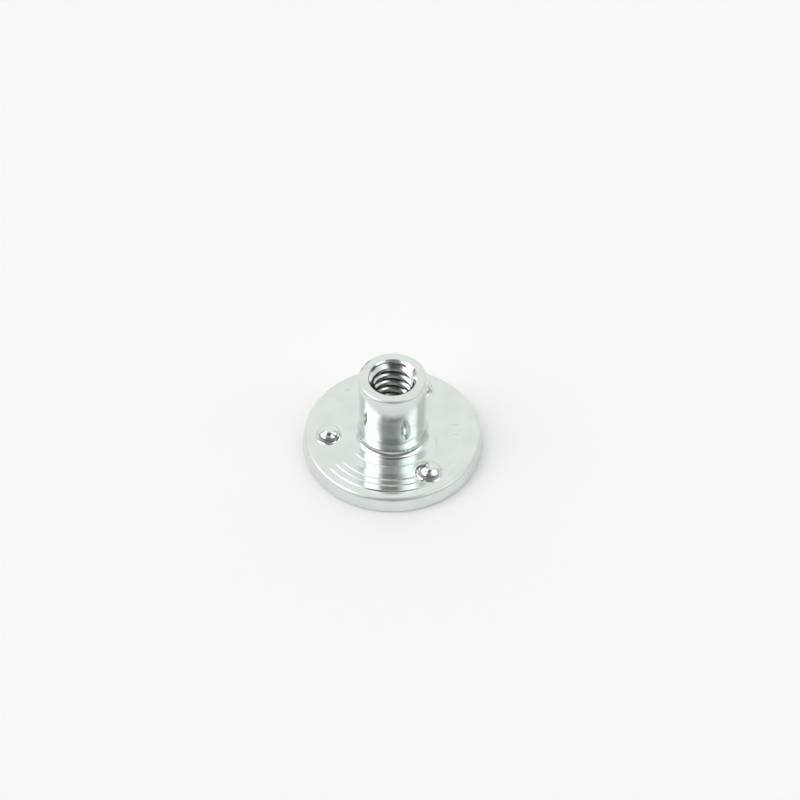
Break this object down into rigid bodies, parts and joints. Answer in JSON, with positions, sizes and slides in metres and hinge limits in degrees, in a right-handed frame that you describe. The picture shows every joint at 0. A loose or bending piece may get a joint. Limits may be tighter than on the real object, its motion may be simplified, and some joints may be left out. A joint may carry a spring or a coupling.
{
  "type": "weld nut",
  "caption": "Round-base weld nut: a long threaded barrel on a disc flange whose upper face carries domed weld projections, zinc-plated steel.",
  "frame": {"origin": "centre of the flange's flat underside, on the thread axis", "axes": "+Z along the thread axis, from the flange to the barrel's free end"},
  "size_m": [0.019, 0.019, 0.0103],
  "materials": {
    "zinc_plate": "bright zinc plate on steel"
  },
  "bodies": {
    "root": {"weld_nut": "zinc_plate"}
  },
  "joints": []
}
